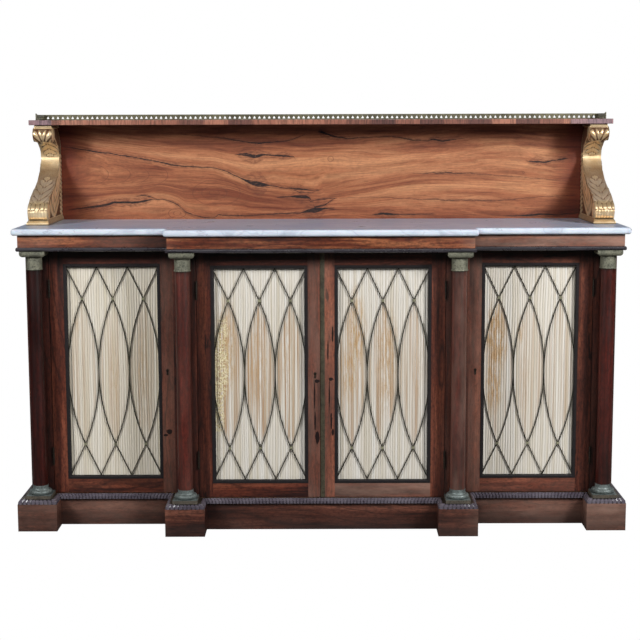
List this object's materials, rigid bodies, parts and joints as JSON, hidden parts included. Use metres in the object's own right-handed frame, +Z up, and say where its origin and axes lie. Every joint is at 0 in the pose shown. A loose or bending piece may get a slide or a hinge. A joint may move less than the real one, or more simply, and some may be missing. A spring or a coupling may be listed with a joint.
{
  "type": "chiffonier",
  "caption": "Breakfront chiffonier with a marble top, brass grille doors lined with pleated silk, columns, and a galleried upper shelf on carved scroll consoles.",
  "frame": {"origin": "on the floor, in the middle of the width and the depth", "axes": "+X to the right along the front, -Y to the front, +Z up"},
  "size_m": [1.834, 0.485, 1.252],
  "materials": {
    "rosewood": "French polished, worn",
    "dark_wood": "dark stained and waxed",
    "carcass_wood": "plain sawn and planed",
    "marble": "polished, grey veined",
    "bronzed_brass": "darkened, nearly black",
    "verdigris_brass": "pale green-grey patina",
    "giltwood": "water gilded carving, rubbed",
    "brass": "dull, tarnished",
    "silk": "pleated silk, aged"
  },
  "bodies": {
    "case": {"back_boards": "carcass_wood", "back_panel": "rosewood", "bottom_board": "carcass_wood", "column_bases": "verdigris_brass", "column_capitals": "verdigris_brass", "column_shafts": "rosewood", "console_left": "giltwood", "console_right": "giltwood", "end_panel_left": "rosewood", "end_panel_right": "rosewood", "frieze": "rosewood", "frieze_bead": "dark_wood", "front_posts": "rosewood", "gallery": "bronzed_brass", "hinges_case": "brass", "inner_shelves": "carcass_wood", "marble_top": "marble", "partition_left": "carcass_wood", "partition_right": "carcass_wood", "plinth_back_rails": "carcass_wood", "plinth_blocks": "rosewood", "plinth_front_rails": "rosewood", "reeded_moulding": "dark_wood", "shelf_bearers": "carcass_wood", "soffit_board": "carcass_wood", "upper_shelf": "rosewood"},
    "left_door": {"door_left_frame": "rosewood", "door_left_grille": "bronzed_brass", "door_left_hinges": "brass", "door_left_lock": "brass", "door_left_moulding": "bronzed_brass", "door_left_silk": "silk", "door_left_stretcher": "carcass_wood"},
    "middle_left_door": {"door_middle_left_frame": "rosewood", "door_middle_left_grille": "bronzed_brass", "door_middle_left_hinges": "brass", "door_middle_left_lock": "brass", "door_middle_left_moulding": "bronzed_brass", "door_middle_left_silk": "silk", "door_middle_left_stretcher": "carcass_wood"},
    "middle_right_door": {"door_middle_right_frame": "rosewood", "door_middle_right_grille": "bronzed_brass", "door_middle_right_hinges": "brass", "door_middle_right_moulding": "bronzed_brass", "door_middle_right_silk": "silk", "door_middle_right_stretcher": "carcass_wood", "astragal": "bronzed_brass", "slip_bolt_guides": "brass"},
    "right_door": {"door_right_frame": "rosewood", "door_right_grille": "bronzed_brass", "door_right_hinges": "brass", "door_right_lock": "brass", "door_right_moulding": "bronzed_brass", "door_right_silk": "silk", "door_right_stretcher": "carcass_wood"},
    "left_lock_bolt": {"door_left_bolt": "brass"},
    "middle_left_lock_bolt": {"door_middle_left_bolt": "brass"},
    "right_lock_bolt": {"door_right_bolt": "brass"},
    "top_slip_bolt": {"slip_bolt_top": "brass"},
    "low_slip_bolt": {"slip_bolt_low": "brass"}
  },
  "joints": [
    {"name": "left_door_hinge", "type": "hinge", "parent": "case", "child": "left_door", "pos_m": [-0.81825, -0.1056, 0.47275], "axis": [0, 0, 1], "range_deg": [-90, 0]},
    {"name": "middle_left_door_hinge", "type": "hinge", "parent": "case", "child": "middle_left_door", "pos_m": [-0.37025, -0.1656, 0.47275], "axis": [0, 0, 1], "range_deg": [-90, 0]},
    {"name": "middle_right_door_hinge", "type": "hinge", "parent": "case", "child": "middle_right_door", "pos_m": [0.37025, -0.1656, 0.47275], "axis": [0, 0, 1], "range_deg": [0, 90]},
    {"name": "right_door_hinge", "type": "hinge", "parent": "case", "child": "right_door", "pos_m": [0.81825, -0.1056, 0.47275], "axis": [0, 0, 1], "range_deg": [0, 90]},
    {"name": "left_lock_bolt_throw", "type": "slide", "parent": "left_door", "child": "left_lock_bolt", "axis": [1, 0, 0], "range_m": [0, 0.008]},
    {"name": "middle_left_lock_bolt_throw", "type": "slide", "parent": "middle_left_door", "child": "middle_left_lock_bolt", "axis": [1, 0, 0], "range_m": [0, 0.008]},
    {"name": "right_lock_bolt_throw", "type": "slide", "parent": "right_door", "child": "right_lock_bolt", "axis": [-1, 0, 0], "range_m": [0, 0.008]},
    {"name": "top_slip_bolt_shoot", "type": "slide", "parent": "middle_right_door", "child": "top_slip_bolt", "axis": [0, 0, 1], "range_m": [0, 0.009]},
    {"name": "low_slip_bolt_shoot", "type": "slide", "parent": "middle_right_door", "child": "low_slip_bolt", "axis": [0, 0, -1], "range_m": [0, 0.009]}
  ]
}
